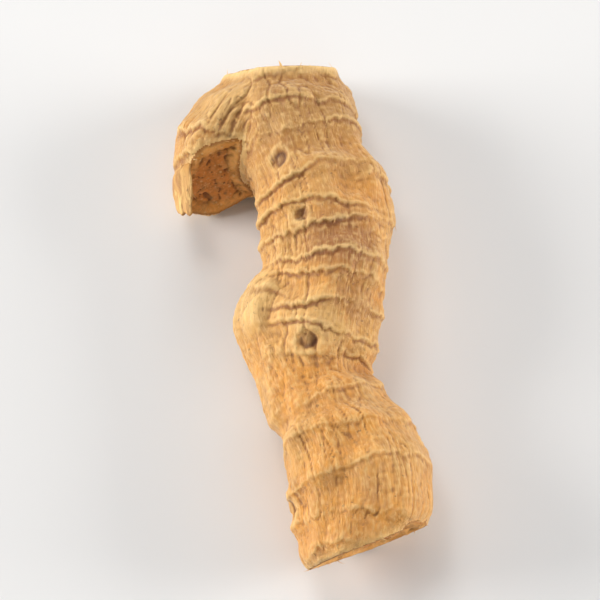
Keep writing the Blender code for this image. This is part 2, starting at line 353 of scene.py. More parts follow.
class Limb:
    """A limb's centre line, which finds how far along and round it a point of the skin lies."""

    def __init__(self, name):
        self.line = route(LIMBS[name])
        self.rings = RINGS[name]
        steps = np.linalg.norm(np.diff(self.line[:, :3], axis=0), axis=1)
        self.length_at = np.concatenate([[0.0], np.cumsum(steps)])
        self.tangents = unit(np.gradient(self.line[:, :3], axis=0))

    def locate(self, points):
        """How far outside the limb each point is, how far along it, and its offset across and up."""
        gaps = np.linalg.norm(points[:, None, :] - self.line[None, :, :3], axis=2)
        depth = gaps - self.line[None, :, 3]
        outside = depth.min(axis=1)
        nearness = np.exp((outside[:, None] - depth) / SOFT_BEND_MM)
        nearness /= nearness.sum(axis=1)[:, None]
        away = points - nearness @ self.line[:, :3]
        tangent = unit(nearness @ self.tangents)
        across = unit(np.cross(tangent, (0.0, 0.0, 1.0)))
        up = np.cross(across, tangent)
        along = nearness @ self.length_at + (away * tangent).sum(axis=1)
        return outside, along, (away * across).sum(axis=1), (away * up).sum(axis=1)

    def index_at(self, along):
        return int(np.abs(self.length_at - along).argmin())

    def point_on_skin(self, along, degrees):
        index = self.index_at(along)
        across = unit(np.cross(self.tangents[index], (0.0, 0.0, 1.0)))
        up = np.cross(across, self.tangents[index])
        turn = math.radians(degrees)
        outwards = math.sin(turn) * across + math.cos(turn) * up
        return self.line[index, :3] + self.line[index, 3] * outwards


def smooth_step(low, high, values):
    t = np.clip((values - low) / (high - low), 0.0, 1.0)
    return t * t * (3 - 2 * t)


def bell(values, width):
    return np.exp(-((values / width) ** 2))


def noise_at(points, scale, shift):
    """Soft noise from about -1 to 1. The scale is how many lumps there are in a mm, on each axis,
    and the shift picks another noise.
    """
    places = points * scale + shift
    return np.array([noise.noise(Vector(p)) for p in places]) * 1.6


def in_limb_frame(points):
    """Model points in metres as points in mm in the limbs' own frame, before the flattening."""
    return (points / MM - SLIDE_MM) / (1.0, 1.0, FLATTEN)


class Skin:
    """Where each point of the skin lies on the limbs and against the cuts."""

    CHUNK = 12000

    def __init__(self, points, normals):
        self.points = points
        self.normals = normals
        self.own = in_limb_frame(points)
        self.limbs = {name: Limb(name) for name in LIMBS}
        parts = [self.own[start : start + self.CHUNK] for start in range(0, len(points), self.CHUNK)]
        places = [
            np.concatenate([limb.locate(part) for part in parts], axis=1)
            for limb in self.limbs.values()
        ]
        depth, self.along, self.across, self.up = np.swapaxes(places, 0, 1)
        self.share = np.exp(-(depth - depth.min(axis=0)) / BLEND_MM)
        self.share /= self.share.sum(axis=0)
        self.angle = np.arctan2(self.across, self.up)
        self.side_limb = depth[1:].argmin(axis=0) + 1
        self.find_cuts()

    def place_on(self, limb_numbers, chosen):
        """The chosen points' offsets across and up from their limbs' lines, and how far along."""
        pick = limb_numbers, chosen
        return np.stack([self.across[pick], self.up[pick], self.along[pick]], axis=1)

    def blended(self, field):
        """A field worked out on each limb by itself, blended where limbs meet."""
        total = np.zeros(len(self.points))
        for number in range(len(LIMBS)):
            here = np.flatnonzero(self.share[number] > 0.02)
            total[here] += self.share[number, here] * field(self.place_on(number, here), here)
        return total

    def find_cuts(self):
        """How much each point belongs to a cut face, and how far it lies in from that face's rim."""
        flat = self.points / MM - SLIDE_MM
        flatten = np.array((1.0, 1.0, FLATTEN))
        everywhere = np.ones(len(flat))
        on_arm = (self.share[list(LIMBS).index("arm")] > 0.5).astype(float)
        cuts = [
            (*HEAD_CUT, everywhere),
            (*FOOT_CUT, everywhere),
            (ARM_CUT[0] * flatten, ARM_CUT[1] / flatten, on_arm),
        ]
        self.cut, self.inward = np.zeros((2, len(flat)))
        self.from_cut = np.full(len(flat), FAR_MM)
        self.cut_centre = []
        self.cut_number = np.full(len(flat), -1)
        for number, (point, facing, allowed) in enumerate(cuts):
            facing = unit(facing)
            gap = (point - flat) @ facing
            looks = self.normals @ facing
            on_face = smooth_step(*CUT_FACING, looks) * smooth_step(*CUT_GAP_MM, np.abs(gap)) * allowed
            chosen = np.flatnonzero(on_face > 0.5)
            rim = np.flatnonzero((on_face <= 0.5) & (np.abs(gap) < RIM_GAP_MM) & (allowed > 0))
            nearer = np.minimum(self.from_cut, np.abs(gap))
            self.from_cut = np.where(allowed > 0, nearer, self.from_cut)
            tree = kdtree.KDTree(len(rim))
            for index in rim:
                tree.insert(flat[index], int(index))
            tree.balance()
            for index in chosen:
                self.inward[index] = tree.find(flat[index])[2]
            self.cut = np.maximum(self.cut, on_face)
            self.cut_number[chosen] = number
            self.cut_centre.append((flat[chosen].mean(axis=0), facing))


def ring_wave(angle, number):
    """How far along its limb a growth ring wanders, at an angle round it."""
    turn = TURN_PER_RING * number
    return RING_WAVE_MM * (np.sin(angle + turn) + RING_RIPPLE * np.sin(3 * angle - turn))


def ring_relief(skin, sizes):
    """Leaf-scale edges and the grooves beyond them, and where on the skin both lie."""
    ragged = 0.4 * noise_at(skin.own, 0.22, 5.0) + 0.1 * noise_at(skin.own, 1.9, 3.0)
    ragged += skin.blended(lambda place, here: 0.28 * noise_at(place, (1.0, 1.0, 0.15), 7.0))
    ragged += skin.blended(lambda place, here: 0.11 * noise_at(place, (2.8, 2.8, 0.3), 9.0))
    crisp = np.clip(0.62 + 0.6 * noise_at(skin.own, 0.5, 13.0), 0.2, 1.1)
    strength = np.clip(0.72 + 0.55 * noise_at(skin.own, 0.2, 11.0), 0.15, 1.2)
    height, edges, grooves = np.zeros((3, len(skin.points)))
    for index, limb in enumerate(skin.limbs.values()):
        for number, place in enumerate(limb.rings):
            wave = ring_wave(skin.angle[index], number)
            offset = skin.along[index] - place - wave - ragged
            rise = np.clip(offset / RING_RISE_MM + 1, 0.0, 1.0) ** 1.5
            edge = rise * (1 - smooth_step(0.0, RING_DROP_MM, offset))
            groove = bell(offset - GROOVE_MM[0], GROOVE_MM[1])
            line = bell(offset - RING_LINE_MM[0], RING_LINE_MM[1])
            part = skin.share[index] * strength
            if index == 0:
                part = part * (1 - FAINT_RING_LOSS * smooth_step(*FAINT_RINGS_FROM_MM, skin.along[0]))
            height += part * (sizes.scale_edge * edge - sizes.ring_groove * groove)
            edges = np.maximum(edges, part * crisp * line)
            grooves = np.maximum(grooves, part * groove)
    return height, edges, grooves


def fine_rings(skin, sizes):
    """Small steps in the skin between the large rings, strong in places and gone in others."""
    gap = sizes.fine_ring_gap / MM
    drift = 0.55 * noise_at(skin.own, 0.2, 19.0) + 0.22 * noise_at(skin.own, 1.1, 23.0)

    def step(place, here):
        phase = place[:, 2] / gap + drift[here]
        saw = phase - np.floor(phase)
        return saw**2 * (1 - smooth_step(0.84, 1.0, saw))

    where = smooth_step(-0.45, 0.5, noise_at(skin.own, 0.24, 29.0))
    where *= 1 - FAINT_FINE_RING_LOSS * smooth_step(*FAINT_RINGS_FROM_MM, skin.along[0])
    return sizes.fine_ring * skin.blended(step) * where


def wrinkles(skin, sizes):
    """Soft furrows and narrow splits along the limbs, where a stretched noise passes through zero."""
    height = np.zeros(len(skin.points))
    for scale, width, share, sharpness in FURROWS:
        stretch = (scale, scale, scale * 0.1)
        field = skin.blended(lambda place, here: noise_at(place, stretch, 31.0 * scale))
        furrow = np.clip(1 - np.abs(field) / width, 0.0, 1.0) ** sharpness
        where = smooth_step(-0.5, 0.5, noise_at(skin.own, 0.2, 37.0 + scale))
        height -= sizes.wrinkle * share * furrow * where
    return height


def scars(skin):
    """Craters where roots have been, with a nub inside, and the cut ends of the rootlet stubs."""
    height, dark, pale = np.zeros((3, len(skin.points)))
    uneven = 1 + 0.14 * noise_at(skin.own, 0.9, 61.0) + 0.08 * noise_at(skin.own, 2.3, 67.0)
    worn = 0.65 + 0.5 * noise_at(skin.own, 0.8, 83.0)

    def radii_from(centre, radius):
        return np.linalg.norm(skin.own - centre, axis=1) / radius * uneven

    chance = random.Random(3)
    for limb_name, along, degrees, radius in ROOT_SCARS:
        centre = skin.limbs[limb_name].point_on_skin(along, degrees)
        nub_place = centre + [chance.uniform(-0.25, 0.25) for _ in range(3)]
        nub_height = chance.uniform(0.0, 0.2)
        gap = radii_from(centre, radius)
        nub = bell(radii_from(nub_place, radius), 0.3)
        height += MM * (0.36 * bell(gap, 0.6) + nub_height * nub - 0.1 * bell(gap - 0.62, 0.18))
        dark = np.maximum(dark, worn * 0.9 * bell(gap - 0.58, 0.26) + 0.5 * bell(gap, 0.6))
        pale = np.maximum(pale, worn * bell(gap - 1.25, 0.2) + 2.0 * nub_height * nub)
    for limb_name, along, degrees, radius in ROOT_STUBS:
        gap = radii_from(skin.limbs[limb_name].point_on_skin(along, degrees), radius)
        dark = np.maximum(dark, 0.8 * bell(gap - 1.25, 0.3))
        pale = np.maximum(pale, 0.8 * bell(gap, 0.6))
    return height, np.clip(dark, 0.0, 1.0), np.clip(pale, 0.0, 1.0)


def fibre_ends(places, spacing, width):
    """Round dots of uneven size, one in each cell of a loose grid."""
    dots = np.zeros(len(places))
    for index, place in enumerate(places):
        distances, centres = noise.voronoi(Vector(place / spacing))
        size = 0.6 + 0.8 * abs(noise.cell(centres[0] * 7.0))
        dots[index] = math.exp(-((distances[0] * spacing / (width * size)) ** 2))
    return dots


def cut_relief(skin, sizes):
    """The sunken flesh of each cut face, with its fibre ends, a line round the heart and cracks."""
    height, heart, fibre, split = np.zeros((4, len(skin.points)))
    for number, (centre, facing) in enumerate(skin.cut_centre):
        here = np.flatnonzero(skin.cut_number == number)
        inward = skin.inward[here]
        flat = skin.points[here] / MM - SLIDE_MM
        uneven = noise_at(flat, 0.45, 41.0 + number) + 0.4 * noise_at(flat, 1.3, 43.0)
        share = inward / max(float(inward.max()), 0.1) + 0.07 * uneven
        inner = smooth_step(0.15, 1.4, inward)
        line = bell(share - 0.4, 0.045) * smooth_step(-0.3, 0.5, noise_at(flat, 0.5, 71.0))
        side = np.cross(facing, (1.0, 0.0, 0.0))
        angle = np.arctan2((flat - centre) @ side, (flat - centre)[:, 0])
        spokes = np.sin(3.0 * angle + 0.9 * uneven + 2.0 * number)
        crack = np.clip(1 - np.abs(spokes) / 0.14, 0.0, 1.0) * bell(share - 0.66, 0.22)
        crack += 0.8 * smooth_step(0.62, 0.9, noise_at(flat, 1.25, 47.0 + number))
        ends = fibre_ends(flat, 0.9, 0.22) * smooth_step(0.25, 0.6, inward)
        height[here] -= sizes.cut_dish * inner
        height[here] += 0.22 * MM * uneven * inner
        height[here] += sizes.cut_fibre * (ends + 0.5 * noise_at(flat, 2.2, 73.0) * inner)
        height[here] -= MM * (0.12 * line + 0.22 * np.clip(crack, 0.0, 1.0) * inner)
        heart[here] = smooth_step(0.3, 0.5, share)
        fibre[here] = ends
        split[here] = np.clip(0.6 * line + crack * inner, 0.0, 1.0)
    return height, heart, fibre, split


def hollows(mesh, rounds):
    """How far each point lies below its smoothed surroundings, in mm. Crests are below zero."""
    points, normals = points_and_normals(mesh)
    edges = read_rows(mesh.edges, "vertices", 2, np.int64)
    here, there = np.vstack([edges, edges[:, ::-1]]).T
    neighbours = np.bincount(here, minlength=len(points))
    soft = points
    for _ in range(rounds):
        means = [np.bincount(here, column[there], len(points)) / neighbours for column in soft.T]
        soft = 0.5 * soft + 0.5 * np.stack(means, axis=1)
    return ((soft - points) * normals).sum(axis=1) / MM


def read_rows(items, field, width, kind=float):
    """A field of all points or edges of a mesh, with a row for each."""
    values = np.empty(len(items) * width, kind)
    items.foreach_get(field, values)
    return values.reshape(-1, width)


def points_and_normals(mesh):
    return read_rows(mesh.vertices, "co", 3), read_rows(mesh.vertices, "normal", 3)


def set_attribute(mesh, name, values):
    """Stores a number or a vector for each point."""
    kind, slot = ("FLOAT", "value") if values.ndim == 1 else ("FLOAT_VECTOR", "vector")
    attribute = mesh.attributes.new(name, kind, "POINT")
    attribute.data.foreach_set(slot, np.asarray(values, np.float32).ravel())


def stay_in_box(points):
    """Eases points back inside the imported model's box, and keeps them above the table."""
    low, high = (np.array(corner) for corner in CAD_BOX)
    middle = (low + high) / 2
    ease = BOX_EASE_MM * MM
    start = (high - low) / 2 - ease
    reach = np.abs(points - middle)
    past = np.maximum(reach - start, 0.0)
    eased = start + ease * (1 - np.exp(-past / ease))
    inside = middle + np.sign(points - middle) * np.where(past > 0, eased, reach)
    below = points[:, 2] < middle[2]
    inside[below, 2] = np.maximum(points[below, 2], low[2])
    return inside


def add_object(name, data):
    made = bpy.data.objects.new(name, data)
    bpy.context.scene.collection.objects.link(made)
    return made


def object_from(name, shape):
    """Turns a bmesh into an object of the scene."""
    mesh = bpy.data.meshes.new(name)
    shape.to_mesh(mesh)
    shape.free()
    return add_object(name, mesh)


def fine_copy(node, step):
    """A copy of the solid, merged into one surface and meshed again in small squares."""
    shape = bmesh.new()
    shape.from_mesh(node.data)
    bmesh.ops.remove_doubles(shape, verts=shape.verts, dist=0.001 * MM)
    skin = object_from("root_skin", shape)
    remesh = skin.modifiers.new("fine", "REMESH")
    remesh.mode = "VOXEL"
    remesh.voxel_size = step
    smooth = skin.modifiers.new("soften", "SMOOTH")
    smooth.factor = 0.5
    smooth.iterations = SMOOTHING
    graph = bpy.context.evaluated_depsgraph_get()
    fine = bpy.data.meshes.new_from_object(skin.evaluated_get(graph))
    skin.modifiers.clear()
    skin.data = fine
    return skin


class Graph:
    """Adds nodes to a node tree and joins them up."""

    COLUMN = 190
    ROW = 160
    ROWS = 6

    def __init__(self, tree):
        self.tree = tree
        self.count = 0

    def add(self, kind, inputs=None, **settings):
        node = self.tree.nodes.new(kind)
        node.location = (self.COLUMN * (self.count // self.ROWS), -self.ROW * (self.count % self.ROWS))
        self.count += 1
        for name, value in settings.items():
            setattr(node, name, value)
        for key, value in (inputs or {}).items():
            self.put(node.inputs[key], value)
        return node

    def put(self, socket, value):
        if isinstance(value, bpy.types.NodeSocket):
            self.tree.links.new(value, socket)
        elif socket.type == "RGBA":
            socket.default_value = (*value, 1.0)
        else:
            socket.default_value = value

    def math(self, operation, first, second):
        return self.add("ShaderNodeMath", {0: first, 1: second}, operation=operation).outputs[0]

    def times(self, first, second):
        return self.math("MULTIPLY", first, second)

    def stretch(self, place, factors):
        return self.add("ShaderNodeVectorMath", {0: place, 1: factors}, operation="MULTIPLY").outputs[0]

    def noise(self, place, scale, detail, roughness, distortion=0.0):
        names = ("Vector", "Scale", "Detail", "Roughness", "Distortion")
        inputs = dict(zip(names, (place, scale, detail, roughness, distortion)))
        return self.add("ShaderNodeTexNoise", inputs).outputs["Fac"]

    def spread(self, value, low, high, to_low=0.0, to_high=1.0):
        inputs = {"Value": value, "From Min": low, "From Max": high, "To Min": to_low, "To Max": to_high}
        return self.add("ShaderNodeMapRange", inputs, interpolation_type="SMOOTHSTEP").outputs["Result"]

    def mix(self, factor, first, second):
        inputs = {0: factor, 6: first, 7: second}
        return self.add("ShaderNodeMix", inputs, data_type="RGBA").outputs[2]

    def coats(self, tint, coats):
        """Colours laid over one another, each with its mask and its strength."""
        for mask, strength, paint in coats:
            tint = self.mix(self.times(mask, strength), tint, paint)
        return tint

    def spot(self, place, centre, radius):
        """One soft round patch about a point."""
        gap = self.add("ShaderNodeVectorMath", {0: place, 1: centre}, operation="DISTANCE")
        return self.spread(gap.outputs["Value"], radius, 0.3 * radius)

    def attribute(self, name, output="Fac"):
        return self.add("ShaderNodeAttribute", attribute_name=name).outputs[output]

    def group(self, name, inputs):
        node = self.add("ShaderNodeGroup", node_tree=bpy.data.node_groups[name])
        for key, value in inputs.items():
            self.put(node.inputs[key], value)
        return node.outputs[0]

    def patches(self, place, size, low, high):
        return self.group("Patches", {"Place": place, "Size": size, "Low": low, "High": high})

    def grain(self, limbs, streaks, low=0.35, high=0.65):
        return self.group("Lengthwise grain", {**limbs, "Streaks": streaks, "Low": low, "High": high})

    def relief(self, limbs, place, grain, pits):
        return self.group("Fine relief", {**limbs, "Place": place, "Grain": grain, "Pits": pits})


def new_group(name, inputs, output):
    """An empty shader group, with the sockets that are given. The ones set to None take a place."""
    tree = bpy.data.node_groups.new(name, "ShaderNodeTree")
    for socket, value in inputs.items():
        kind = "NodeSocketFloat" if isinstance(value, float) else "NodeSocketVector"
        made = tree.interface.new_socket(socket, in_out="INPUT", socket_type=kind)
        if value is not None:
            made.default_value = value
    tree.interface.new_socket(output, in_out="OUTPUT", socket_type="NodeSocketFloat")
    graph = Graph(tree)
    given = graph.add("NodeGroupInput").outputs
    return graph, given, graph.add("NodeGroupOutput").inputs[output]


LIMB_SOCKETS = {"Stem Place": None, "Side Place": None, "Side Share": 0.0}


def build_grain_group():
    """Streaks that run along the stem or a side limb: fine across it and long along it."""
    inputs = {**LIMB_SOCKETS, "Streaks": (2.0, 2.0, 0.25), "Low": 0.35, "High": 0.65}
    graph, given, mask = new_group("Lengthwise grain", inputs, "Mask")
    stem, side = (
        graph.noise(graph.stretch(given[socket], given["Streaks"]), 1.0, 5.0, 0.6)
        for socket in ("Stem Place", "Side Place")
    )
    blend = graph.add("ShaderNodeMix", {0: given["Side Share"], 2: stem, 3: side}).outputs[0]
    graph.put(mask, graph.spread(blend, given["Low"], given["High"]))


def build_patch_group():
    """Soft-edged patches of a given size in mm."""
    graph, given, mask = new_group("Patches", {"Place": None, "Size": 5.0, "Low": 0.4, "High": 0.6}, "Mask")
    scale = graph.math("DIVIDE", 1.0, given["Size"])
    lumps = graph.noise(given["Place"], scale, 4.0, 0.62, 0.4)
    graph.put(mask, graph.spread(lumps, given["Low"], given["High"]))


def build_relief_group():
    """The finest roughness, too small to model: grain along the limbs and small pits."""
    inputs = {**LIMB_SOCKETS, "Place": None, "Grain": 0.6, "Pits": 0.4}
    graph, given, height = new_group("Fine relief", inputs, "Height")
    limbs = {name: given[name] for name in LIMB_SOCKETS}
    grain = graph.times(graph.grain(limbs, (5.0, 5.0, 0.7)), given["Grain"])
    pits = graph.times(graph.noise(given["Place"], 4.5, 5.0, 0.7), given["Pits"])
    graph.put(height, graph.math("ADD", grain, pits))


def new_material(name):
    """A material's graph and its shader, which keeps the first column of nodes to itself."""
    material = bpy.data.materials.new(name)
    material.use_nodes = True
    graph = Graph(material.node_tree)
    graph.count = Graph.ROWS
    return graph, material.node_tree.nodes["Principled BSDF"]


def limb_attributes(graph):
    return {
        "Stem Place": graph.attribute("stem_place", "Vector"),
        "Side Place": graph.attribute("side_place", "Vector"),
        "Side Share": graph.attribute("side_share"),
    }


def set_surface(graph, shader, tint, speckle, roughness):
    """Gives a shader its colour, and its roughness between two values."""
    graph.put(shader.inputs["Base Color"], tint)
    graph.put(shader.inputs["Roughness"], graph.spread(speckle, 0.0, 1.0, *roughness))


def set_bump(graph, shader, height, strength, depth_mm):
    inputs = {"Strength": strength, "Distance": depth_mm * MM, "Height": height}
    graph.put(shader.inputs["Normal"], graph.add("ShaderNodeBump", inputs).outputs[0])


def build_bark_material(colours):
    """Dried skin: tan with ochre and olive patches, pale scale edges and brown scars, with painted shade in
    the hollows and on the neck's right flank, and painted highlight on the crests (with wear), the side bud
    and the cut rims.
    """
    graph, shader = new_material("Galangal bark")
    shader.inputs["Sheen Weight"].default_value = 0.5
    shader.inputs["Sheen Roughness"].default_value = 0.35
    shader.inputs["Sheen Tint"].default_value = (1.0, 0.86, 0.66, 1.0)
    limbs = limb_attributes(graph)
    own = graph.attribute("own_place", "Vector")
    along = graph.add("ShaderNodeSeparateXYZ", {0: own}).outputs["Y"]
    on_stem = graph.spread(limbs["Side Share"], 0.0, 1.0, 1.0, 0.35)
    hollow = graph.attribute("hollow_fine")
    # A pale line on the bark side of each cut's rim: frayed bark and a painted highlight, stronger towards
    # the head, where its top rim catches the light.
    rim = graph.spread(graph.attribute("from_cut"), 1.3, 0.1)
    rim_highlight_by_place = graph.spread(along, -24.0, 0.0, 0.35, 0.75)
    coats = [
        (graph.patches(own, 7.0, 0.4, 0.62), 1.0, colours.ochre),
        (graph.spread(along, 4.0, 22.0), on_stem, colours.olive),
        (graph.spread(along, -18.0, -30.0), 0.95, colours.ochre),
    ]
    # Painted shade spots in bark brown, then painted highlight and pale spots in straw.
    for spots, paint in ((PAINTED_SHADE_PATCHES, colours.bark_brown), (HIGHLIGHT_AND_PALE_PATCHES, colours.straw)):
        for centre, radius, strength in spots:
            coats.append((graph.spot(own, centre, radius), strength, paint))
    coats += [
        (graph.patches(own, 3.2, 0.52, 0.72), 0.3, colours.bark_brown),
        (graph.grain(limbs, (1.6, 1.6, 0.22)), 0.3, colours.bark_brown),
        (graph.grain(limbs, (4.5, 4.5, 0.5), 0.5, 0.68), 0.35, colours.straw),
        (graph.patches(own, 0.5, 0.62, 0.7), 0.55, colours.scar_brown),
        # Straw on the crests is wear and painted highlight. Bark brown in the fine and wide hollows is
        # painted shade in creases and recesses.
        (graph.spread(hollow, 0.0, -0.05), 0.36, colours.straw),
        (graph.spread(hollow, 0.0, 0.06), 0.65, colours.bark_brown),
        (graph.spread(graph.attribute("hollow_wide"), 0.05, 0.5), 0.55, colours.bark_brown),
        (graph.attribute("ring_edge"), 0.6, colours.straw),
        (graph.attribute("ring_groove"), 0.55, colours.bark_brown),
        (graph.attribute("scar_dark"), 1.0, colours.scar_brown),
        (graph.attribute("scar_pale"), 0.6, colours.straw),
        # Pale cut rims: frayed bark and painted highlight.
        (rim, rim_highlight_by_place, colours.straw),
    ]
    speckle = graph.patches(own, 0.7, 0.35, 0.65)
    set_surface(graph, shader, graph.coats(colours.tan, coats), speckle, (0.5, 0.78))
    set_bump(graph, shader, graph.relief(limbs, own, 0.7, 0.5), 0.7, 0.12)


def build_flesh_material(colours):
    """Cut flesh: orange-brown outside, redder in the heart, with pale fibre ends and a dark rim."""
    graph, shader = new_material("Galangal cut flesh")
    own = graph.attribute("own_place", "Vector")
    coats = [
        (graph.patches(own, 2.4, 0.38, 0.62), 0.6, colours.ochre),
        (graph.attribute("heart"), 0.75, colours.heart),
        (graph.patches(own, 0.9, 0.42, 0.7), 0.45, colours.bark_brown),
        (graph.attribute("fibre_end"), 0.25, colours.fibre),
    ]
    for cells_per_mm, strength in ((1.4, 0.6), (2.7, 0.4)):
        dots = graph.add("ShaderNodeTexVoronoi", {"Vector": own, "Scale": cells_per_mm})
        coats.append((graph.spread(dots.outputs["Distance"], 0.26, 0.12), strength, colours.fibre))
    coats += [
        # Painted shade in the flesh's fine hollows.
        (graph.spread(graph.attribute("hollow_fine"), 0.0, 0.09), 0.6, colours.scar_brown),
        (graph.attribute("split"), 0.7, colours.scar_brown),
        (graph.spread(graph.attribute("inward"), 0.6, 0.2), 0.7, colours.bark_brown),
    ]
    speckle = graph.patches(own, 0.5, 0.35, 0.65)
    set_surface(graph, shader, graph.coats(colours.flesh, coats), speckle, (0.7, 0.92))
    set_bump(graph, shader, graph.relief(limb_attributes(graph), own, 0.0, 1.0), 0.8, 0.15)


def object_place_in_mm(graph):
    return graph.stretch(graph.add("ShaderNodeTexCoord").outputs["Object"], (1 / MM,) * 3)


def build_fibre_material(colours):
    """Loose fibres: pale straw, browner in places."""
    graph, shader = new_material("Galangal fibre")
    patch = graph.patches(object_place_in_mm(graph), 0.8, 0.35, 0.65)
    tint = graph.coats(colours.fibre, [(patch, 0.7, colours.tan)])
    set_surface(graph, shader, tint, patch, (0.6, 0.8))


def build_torn_material(colours):
    """Torn bark: straw and tan streaks along the strip."""
    graph, shader = new_material("Galangal torn bark")
    place = object_place_in_mm(graph)
    lengthwise = graph.stretch(place, (1.6, 0.22, 1.6))
    streak = graph.patches(lengthwise, 0.7, 0.4, 0.68)
    coats = [
        (streak, 0.6, colours.straw),
        (graph.patches(lengthwise, 1.1, 0.48, 0.62), 0.55, colours.bark_brown),
        (graph.patches(place, 0.5, 0.6, 0.7), 0.5, colours.scar_brown),
    ]
    tint = graph.coats(graph.mix(0.5, colours.tan, colours.olive), coats)
    set_surface(graph, shader, tint, streak, (0.6, 0.8))
    set_bump(graph, shader, streak, 0.8, 0.12)


def build_materials():
    """Makes the shared groups and the materials once."""
    if "Galangal bark" in bpy.data.materials:
        return
    build_grain_group()
    build_patch_group()
    build_relief_group()
    colours = bpy.context.scene.galangal_colours
    for build in (build_bark_material, build_flesh_material, build_fibre_material, build_torn_material):
        build(colours)


class GALANGAL_OT_root(bpy.types.Operator):
    """Build the root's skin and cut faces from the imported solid"""

    bl_idname = "galangal.root"
    bl_label = "Root"

    def execute(self, context):
        build_materials()
        sizes = context.scene.galangal_shape
        piece = fine_copy(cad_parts[NODE], sizes.skin_step)
        mesh = piece.data
        points, normals = points_and_normals(mesh)
        skin = Skin(points, normals)
        rings, edges, grooves = ring_relief(skin, sizes)
        folds = wrinkles(skin, sizes)
        pits, dark, pale = scars(skin)
        cuts, heart, fibre, split = cut_relief(skin, sizes)
        height = rings + folds + pits + fine_rings(skin, sizes)
        height += sizes.lump * noise_at(skin.own, 0.38, 53.0)
        height += sizes.grain * noise_at(skin.own, 1.9, 59.0)
        height = height * (1 - skin.cut) + cuts
        moved = stay_in_box(points + normals * height[:, None])
        mesh.vertices.foreach_set("co", moved.ravel())
        mesh.update()

        everyone = np.arange(len(points))
        fields = {
            "stem_place": skin.place_on(0, everyone),
            "side_place": skin.place_on(skin.side_limb, everyone),
            "own_place": skin.own,
            "side_share": 1 - skin.share[0],
            "from_cut": skin.from_cut,
            "inward": skin.inward,
            "heart": heart,
            "fibre_end": fibre,
            "split": split,
        }
        on_bark = {"ring_edge": edges, "ring_groove": grooves, "scar_dark": dark, "scar_pale": pale}
        for name, values in on_bark.items():
            fields[name] = values * (1 - skin.cut)
        for name, rounds in HOLLOW_ROUNDS.items():
            fields[name] = hollows(mesh, rounds)
        for name, values in fields.items():
            set_attribute(mesh, name, values)

        mesh.materials.clear()
        mesh.materials.append(bpy.data.materials["Galangal bark"])
        mesh.materials.append(bpy.data.materials["Galangal cut flesh"])
        on_cut = skin.cut > 0.5
        for face in mesh.polygons:
            face.material_index = int(on_cut[list(face.vertices)].mean() > 0.5)
            face.use_smooth = True
        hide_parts(NODE)
        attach(piece, BODY)
        return {"FINISHED"}


def add_fibre(shape, start, direction, sag, length_mm, width_mm):
    """A tapered fibre from the start, which bends towards the sag on its way."""
    towards = direction.normalized()
    turn = towards.to_track_quat("Z", "Y").to_matrix().to_4x4()
    place = Matrix.Translation(start) @ turn
    circle = {"segments": FIBRE_SIDES, "radius": width_mm / 2 * MM, "matrix": place}
    rim = bmesh.ops.create_circle(shape, cap_ends=True, **circle)["verts"]
    face = rim[0].link_faces[0]
    widths = [1 - number / (FIBRE_STEPS + 0.6) for number in range(FIBRE_STEPS + 1)]
    for before, narrower in zip(widths, widths[1:]):
        face = bmesh.ops.extrude_discrete_faces(shape, faces=[face])["faces"][0]
        verts = face.verts[:]
        towards = (towards + sag / FIBRE_STEPS).normalized()
        bmesh.ops.translate(shape, verts=verts, vec=towards * (length_mm * MM / FIBRE_STEPS))
        middle = sum((v.co for v in verts), Vector()) / len(verts)
        size = (narrower / before,) * 3
        bmesh.ops.scale(shape, vec=size, space=Matrix.Translation(-middle), verts=verts)


def finish_piece(name, shape, material):
    """Turns a bmesh into a piece on the root: in the box, closed and with its faces outwards."""
    places = stay_in_box(np.array([vertex.co for vertex in shape.verts]))
    for vertex, place in zip(shape.verts, places):
        vertex.co = place
    open_edges = [edge for edge in shape.edges if edge.is_boundary]
    bmesh.ops.holes_fill(shape, edges=open_edges, sides=FIBRE_SIDES)
    bmesh.ops.recalc_face_normals(shape, faces=shape.faces)
    piece = object_from(name, shape)
    for face in piece.data.polygons:
        face.use_smooth = True
    piece.data.materials.append(bpy.data.materials[material])
    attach(piece, BODY)
    return piece


class SkinSurface:
    """Finds the finished skin's point and outward direction nearest to a place."""

    def __init__(self):
        self.vertices = bpy.data.objects["root_skin"].data.vertices
        self.tree = kdtree.KDTree(len(self.vertices))
        for vertex in self.vertices:
            self.tree.insert(vertex.co, vertex.index)
        self.tree.balance()

    def nearest(self, own_place):
        place = (np.array(own_place) * (1.0, 1.0, FLATTEN) + SLIDE_MM) * MM
        found = self.tree.find(Vector(place))[1]
        return self.vertices[found].co.copy(), self.vertices[found].normal.copy()


